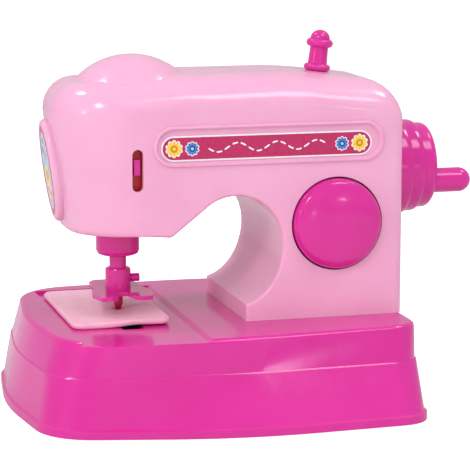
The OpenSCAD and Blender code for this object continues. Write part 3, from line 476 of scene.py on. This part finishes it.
# End label: an oval field with flowers, on the leaning end of the head
END_LEAN_OUT = 8.0 * MM
END_LEAN_H = 58.5 * MM
END_LABEL_T = 0.3 * MM
END_BORDER = 2.3 * MM
END_LINE = 0.5 * MM
END_PETALS = 7
MIDDLE_FLOWER_R = 4.2 * MM
MIDDLE_FLOWER_SHARES = (0.0, -0.12)
GLOW_SHARES = (0.0, -0.34)
GLOW_W_SHARE = 0.78
GLOW_H_SHARE = 0.54
LEAF_W = 1.3 * MM
LEAF_H = 2.6 * MM
LEAF_SHARES = ((-0.68, 0.10), (0.68, 0.06), (0.02, 0.36))
BLUE_FLOWER = (blue_ink, navy_ink, white_film)
BLUSH_FLOWER = (blush_ink, pink_ink, white_film)
END_FLOWERS = (((-0.40, 0.56), 2.0 * MM, BLUE_FLOWER), ((0.46, 0.48), 1.8 * MM, BLUSH_FLOWER),
               ((-0.46, -0.50), 1.9 * MM, BLUSH_FLOWER), ((0.42, -0.56), 2.1 * MM, BLUSH_FLOWER),
               ((0.0, -0.80), 1.5 * MM, BLUSH_FLOWER), ((0.04, 0.80), 1.5 * MM, BLUE_FLOWER))
end_low, end_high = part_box("end_label")
lean = math.atan2(END_LEAN_OUT, END_LEAN_H)
end_out = Vector((-math.cos(lean), 0.0, -math.sin(lean)))
end_up = Vector((-math.sin(lean), 0.0, math.cos(lean)))
end_place = ((end_low + end_high) / 2 + end_out * END_LABEL_T / 2, -BACK, end_up, end_out)
end_w = end_high.y - end_low.y
end_h = (end_high.z - end_low.z) / math.cos(lean)
line_w = end_w - 2 * END_BORDER
line_h = end_h - 2 * END_BORDER
field_w = line_w - 2 * END_LINE
field_h = line_h - 2 * END_LINE


def in_field(shares):
    """Place in the end label's field, from shares of its half width and half height."""
    return shares[0] * field_w / 2, shares[1] * field_h / 2


plate("end_border", oval(end_w, end_h), end_place, pink_ink)
plate("end_line", oval(line_w, line_h), end_place, white_film, INK)
plate("end_field", oval(field_w, field_h), end_place, sky_ink, 2 * INK)
end_glow = oval(field_w * GLOW_W_SHARE, field_h * GLOW_H_SHARE, in_field(GLOW_SHARES), GLOW_STEPS)
plate("end_glow", end_glow, end_place, peach_ink, 3 * INK)
flower("end_flower_middle", end_place, in_field(MIDDLE_FLOWER_SHARES), MIDDLE_FLOWER_R,
       (yellow_ink, orange_ink, yellow_ink), 4 * INK, LABEL_PETALS)
for k, (shares, r, inks) in enumerate(END_FLOWERS):
    flower("end_flower_%d" % k, end_place, in_field(shares), r, inks, 4 * INK, END_PETALS)
for k, shares in enumerate(LEAF_SHARES):
    plate("end_leaf_%d" % k, oval(LEAF_W, LEAF_H, in_field(shares), LEAF_STEPS), end_place, leaf_ink, 4 * INK)


# Painted shade of the wheel screw's cross recess: a thin dark cross in place of the recess and its shadow
CROSS_REACH = 1.5 * MM
CROSS_ARM_SHARE = 0.28
RECESS_T = 0.02 * MM


def cross(reach):
    w = reach * CROSS_ARM_SHARE
    return [(w, -reach), (w, -w), (reach, -w), (reach, w), (w, w), (w, reach), (-w, reach), (-w, w),
            (-reach, w), (-reach, -w), (-w, -w), (-w, -reach)]


screw_low, screw_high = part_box("wheel_screw")
screw_place = (Vector((screw_high.x, 0.0, (screw_low.z + screw_high.z) / 2)), BACK, UP, RIGHT)
plate("wheel_screw_recess_painted_shade", cross(CROSS_REACH), screw_place, recess_shade, thick=RECESS_T,
      body="wheel")


# Cloth square with a hole for the needle, made of rings from the hole to the edge
HOLE_R = 2.15 * MM
RINGS = 26
RING_CROWDING = 1.5
AROUND = 128
CLOTH_T = 2.4 * MM
CLOTH_CORNER = 4.0 * MM
EDGE_SHARES = (0.0, 0.5, 0.85, 1.0)
EDGE_T_SHARE = 0.35
STRAIGHT = 1e-9

# Lift of the right side and of the front edge, then the small folds, as places along the two sides
SIDE_RISE = 0.6 * MM
SIDE_FROM_SHARE = 0.45
FRONT_RISE = 0.7 * MM
FRONT_DEPTH_SHARE = 0.3
FRONT_AT_SHARE = 0.66
FRONT_WIDE_SHARE = 0.2
FOLD_RISE = 0.12 * MM
FOLD_WAVES = (1.3, 0.7)
CREASE_DEPTH = 0.22 * MM
CREASE_AT_SHARE = 0.3
CREASE_SLANT_SHARE = 0.12
CREASE_WIDE_SHARE = 0.035
CREASE_MIDDLE_SHARE = 0.62
CREASE_LEN_SHARE = 0.3
cloth_low, cloth_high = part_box("cloth_square")
needle_low, needle_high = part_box("needle")
hole = Vector(((needle_low.x + needle_high.x) / 2, 0.0))


def edge_point(direction):
    """Point of the square's rounded outline in a direction from the needle."""
    reaches = []
    for k in (0, 1):
        if abs(direction[k]) > STRAIGHT:
            edge = cloth_high if direction[k] > 0 else cloth_low
            reaches.append((edge[k] - hole[k]) / direction[k])
    point = hole + direction * min(reaches)
    middle = (cloth_low + cloth_high) / 2
    straight = [(cloth_high[k] - cloth_low[k]) / 2 - CLOTH_CORNER for k in (0, 1)]
    past = [abs(point[k] - middle[k]) - straight[k] for k in (0, 1)]
    if min(past) > 0.0:
        shrink = CLOTH_CORNER / math.hypot(*past)
        for k in (0, 1):
            side = 1.0 if point[k] > middle[k] else -1.0
            point[k] = middle[k] + side * (straight[k] + past[k] * shrink)
    return point


def bell(share, middle, wide):
    return math.exp(-((share - middle) / wide) ** 2)


def cloth_shares(point):
    """Shares of the way from left to right and from front to back."""
    return [(point[k] - cloth_low[k]) / (cloth_high[k] - cloth_low[k]) for k in (0, 1)]


def rise(point):
    """Height of the underside above the bed: the right side and the front edge stand up a little."""
    s, t = cloth_shares(point)
    side = max(0.0, (s - SIDE_FROM_SHARE) / (1.0 - SIDE_FROM_SHARE))
    front = max(0.0, 1.0 - t / FRONT_DEPTH_SHARE)
    return SIDE_RISE * side ** 2 + FRONT_RISE * front ** 2 * bell(s, FRONT_AT_SHARE, FRONT_WIDE_SHARE)


def crown(point):
    """Small folds of the upper side."""
    s, t = cloth_shares(point)
    waves = math.sin(2 * math.pi * (FOLD_WAVES[0] * s + FOLD_WAVES[1] * t))
    across = bell(t, CREASE_AT_SHARE + CREASE_SLANT_SHARE * s, CREASE_WIDE_SHARE)
    along = bell(s, CREASE_MIDDLE_SHARE, CREASE_LEN_SHARE)
    return FOLD_RISE * waves * math.sin(math.pi * t) - CREASE_DEPTH * across * along


def cloth_point(ring, turn, upper):
    """Point of a ring, counted from the hole, on the upper or the lower side."""
    direction = Vector((math.cos(turn), math.sin(turn)))
    way = 1.0 - (1.0 - ring / (RINGS - 1)) ** RING_CROWDING
    point = (hole + direction * HOLE_R).lerp(edge_point(direction), way)
    fullness = EDGE_SHARES[min(RINGS - 1 - ring, len(EDGE_SHARES) - 1)]
    half = CLOTH_T / 2 * (EDGE_T_SHARE + (1.0 - EDGE_T_SHARE) * fullness)
    middle = cloth_low.z + rise(point) + CLOTH_T / 2
    z = middle + half + crown(point) * fullness if upper else middle - half
    return (point.x, point.y, z)


def make_cloth():
    mesh = bpy.data.meshes.new("satin_square")
    bm = bmesh.new()
    order = [(k, True) for k in range(RINGS)] + [(k, False) for k in reversed(range(RINGS))]
    turns = [2 * math.pi * i / AROUND for i in range(AROUND)]
    rings = [[bm.verts.new(cloth_point(k, turn, upper)) for turn in turns] for k, upper in order]
    rings.append(rings[0])
    for one, two in zip(rings, rings[1:]):
        for i in range(AROUND):
            k = (i + 1) % AROUND
            bm.faces.new((one[i], one[k], two[k], two[i]))
    bmesh.ops.recalc_face_normals(bm, faces=bm.faces)
    bm.to_mesh(mesh)
    bm.free()
    obj = bpy.data.objects.new("satin_square", mesh)
    bpy.context.scene.collection.objects.link(obj)
    mesh.materials.append(weave_cloth)
    for face in mesh.polygons:
        face.use_smooth = True
    return obj


cloth = make_cloth()
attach(cloth, "machine")
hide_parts("cloth_square")


# Floor: white where it is looked at, grey where it only catches light
FLOOR_HALF = 4000.0 * MM
FLOOR_DROP = 0.2 * MM
FLOOR_VALUES = {"Base Color": grey(0.70), "Roughness": 0.6}
FLOOR_SHINE = {"Color": WHITE_LIGHT, "Strength": 0.75}


def stage_floor():
    mesh = bpy.data.meshes.new("floor")
    bm = bmesh.new()
    bmesh.ops.create_grid(bm, x_segments=2, y_segments=2, size=FLOOR_HALF)
    bm.to_mesh(mesh)
    bm.free()
    obj = bpy.data.objects.new("floor", mesh)
    bpy.context.scene.collection.objects.link(obj)
    obj.location.z = -FLOOR_DROP
    material, tree, shader = new_material("floor_white")
    set_values(shader, FLOOR_VALUES)
    path = tree.nodes.new("ShaderNodeLightPath")
    shine = tree.nodes.new("ShaderNodeEmission")
    set_values(shine, FLOOR_SHINE)
    both = tree.nodes.new("ShaderNodeAddShader")
    mix = tree.nodes.new("ShaderNodeMixShader")
    out = next(n for n in tree.nodes if n.type == "OUTPUT_MATERIAL")
    tree.links.new(shader.outputs["BSDF"], both.inputs[0])
    tree.links.new(shine.outputs["Emission"], both.inputs[1])
    tree.links.new(path.outputs["Is Camera Ray"], mix.inputs["Fac"])
    tree.links.new(shader.outputs["BSDF"], mix.inputs[1])
    tree.links.new(both.outputs["Shader"], mix.inputs[2])
    tree.links.new(mix.outputs["Shader"], out.inputs["Surface"])
    mesh.materials.append(material)


# Surroundings: soft light, and plain white where they are looked at
SOFT_VALUES = {"Color": WHITE_LIGHT, "Strength": 0.56}
SEEN_VALUES = {"Color": WHITE_LIGHT, "Strength": 1.0}


def world_light():
    world = bpy.data.worlds.new("studio")
    bpy.context.scene.world = world
    world.use_nodes = True
    tree = world.node_tree
    tree.nodes.clear()
    out = tree.nodes.new("ShaderNodeOutputWorld")
    path = tree.nodes.new("ShaderNodeLightPath")
    seen = tree.nodes.new("ShaderNodeMath")
    seen.operation = "MAXIMUM"
    soft = tree.nodes.new("ShaderNodeBackground")
    set_values(soft, SOFT_VALUES)
    white = tree.nodes.new("ShaderNodeBackground")
    set_values(white, SEEN_VALUES)
    mix = tree.nodes.new("ShaderNodeMixShader")
    tree.links.new(path.outputs["Is Camera Ray"], seen.inputs[0])
    tree.links.new(path.outputs["Is Transmission Ray"], seen.inputs[1])
    tree.links.new(seen.outputs["Value"], mix.inputs["Fac"])
    tree.links.new(soft.outputs["Background"], mix.inputs[1])
    tree.links.new(white.outputs["Background"], mix.inputs[2])
    tree.links.new(mix.outputs["Shader"], out.inputs["Surface"])


# Lamps: name, degrees to the right of the front, degrees up, size in metres, power, mirrored in the gloss
LAMPS = (("left_box", -112.0, 56.0, 0.26, 3.4, True),
         ("right_box", 100.0, 55.0, 0.3, 2.8, True),
         ("front_left_box", -42.0, 34.0, 0.2, 2.8, True),
         ("front_right_box", 34.0, 56.0, 0.45, 3.4, True),
         ("front_fill", -8.0, 14.0, 0.6, 2.6, False),
         ("left_fill", -70.0, 6.0, 0.6, 3.2, False),
         ("left_strip", -66.0, 14.0, 0.16, 0.6, True),
         ("low_right_lamp", 20.0, 5.0, 0.08, 0.16, True),
         ("low_middle_lamp", 1.0, -1.0, 0.05, 0.06, True))
LAMP_MIDDLE = Vector((10.0, 0.0, 70.0)) * MM
LAMP_REACH = 1300.0 * MM


def softbox(name, azimuth, elevation, size, power, mirrored):
    """Square lamp in a direction from the machine."""
    a = math.radians(azimuth)
    e = math.radians(elevation)
    out = Vector((math.sin(a) * math.cos(e), -math.cos(a) * math.cos(e), math.sin(e)))
    lamp = bpy.data.lights.new(name, "AREA")
    lamp.shape = "SQUARE"
    lamp.size = size
    lamp.energy = power
    obj = bpy.data.objects.new(name, lamp)
    bpy.context.scene.collection.objects.link(obj)
    obj.visible_glossy = mirrored
    obj.location = LAMP_MIDDLE + out * LAMP_REACH
    obj.rotation_euler = (-out).to_track_quat("-Z", "Y").to_euler()


# Camera of the photograph
AZIMUTH = 0.26313
ELEVATION = 0.17219
DISTANCE = 889.71 * MM
TARGET = Vector((16.968, 0.0, 64.432)) * MM
FOCAL_PX = 2200.0
IMAGE_PX = 470.0
SENSOR = 36.0
CLIP_START = 50.0 * MM
CLIP_END = 50000.0 * MM


def camera():
    forward = Vector((math.sin(AZIMUTH) * math.cos(ELEVATION), math.cos(AZIMUTH) * math.cos(ELEVATION),
                      -math.sin(ELEVATION)))
    lens = bpy.data.cameras.new("camera")
    lens.sensor_fit = "HORIZONTAL"
    lens.sensor_width = SENSOR
    lens.lens = FOCAL_PX * SENSOR / IMAGE_PX
    lens.clip_start = CLIP_START
    lens.clip_end = CLIP_END
    obj = bpy.data.objects.new("camera", lens)
    bpy.context.scene.collection.objects.link(obj)
    obj.location = TARGET - forward * DISTANCE
    obj.rotation_euler = forward.to_track_quat("-Z", "Y").to_euler()
    bpy.context.scene.camera = obj


stage_floor()
world_light()
for lamp_values in LAMPS:
    softbox(*lamp_values)
camera()
bpy.context.scene.view_settings.view_transform = "Standard"
